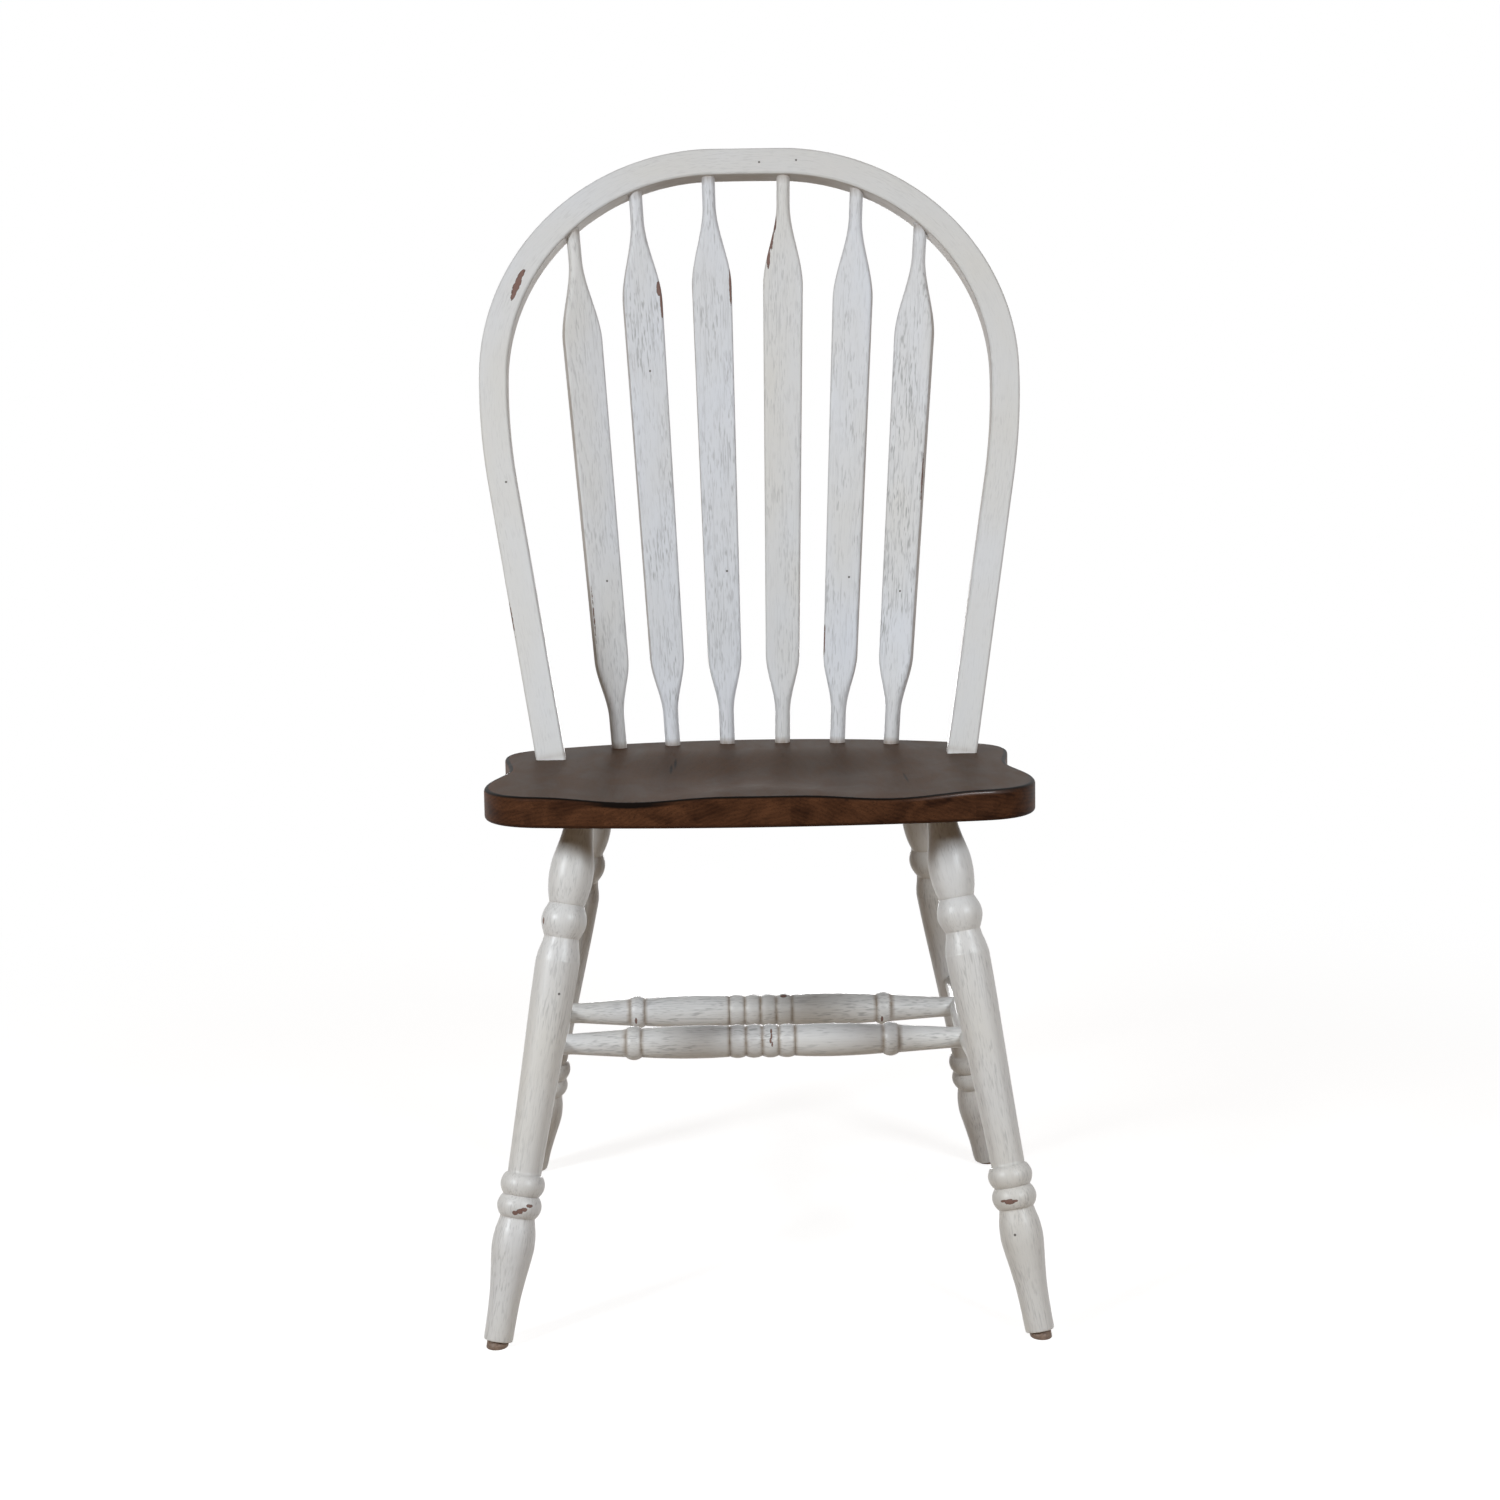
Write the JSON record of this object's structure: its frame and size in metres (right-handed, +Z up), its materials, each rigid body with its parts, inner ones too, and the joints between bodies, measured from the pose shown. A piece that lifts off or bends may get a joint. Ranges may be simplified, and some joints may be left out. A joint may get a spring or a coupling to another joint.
{
  "type": "windsor side chair",
  "caption": "Bow-back windsor side chair with flat arrow spindles, a dished dark wooden seat and turned white legs joined by two cross stretchers.",
  "frame": {"origin": "on the floor, under the middle of the chair's outline box", "axes": "+X to the right seen from the front, +Y from the front of the seat to its back, +Z up from the floor to the top of the bow"},
  "size_m": [0.5154, 0.5374, 1.0053],
  "materials": {
    "seat_stain": "dark walnut stain under satin lacquer, reddish on the edges, near black along the upper edge",
    "white_paint": "antique white paint over hardwood, grey glaze in the grain and grooves, brown rub-through spots, satin",
    "glide_plastic": "plain brown moulded glide",
    "nail_steel": "drawn steel nail"
  },
  "bodies": {
    "root": {"seat": "seat_stain", "bow": "white_paint", "spindle_1": "white_paint", "spindle_2": "white_paint", "spindle_3": "white_paint", "spindle_4": "white_paint", "spindle_5": "white_paint", "spindle_6": "white_paint", "leg_front_left": "white_paint", "leg_front_right": "white_paint", "leg_rear_left": "white_paint", "leg_rear_right": "white_paint", "stretcher_side_left": "white_paint", "stretcher_side_right": "white_paint", "stretcher_cross_front": "white_paint", "stretcher_cross_rear": "white_paint", "glide_front_left": "glide_plastic", "glide_front_right": "glide_plastic", "glide_rear_left": "glide_plastic", "glide_rear_right": "glide_plastic", "glide_nail_front_left": "nail_steel", "glide_nail_front_right": "nail_steel", "glide_nail_rear_left": "nail_steel", "glide_nail_rear_right": "nail_steel"}
  },
  "joints": []
}
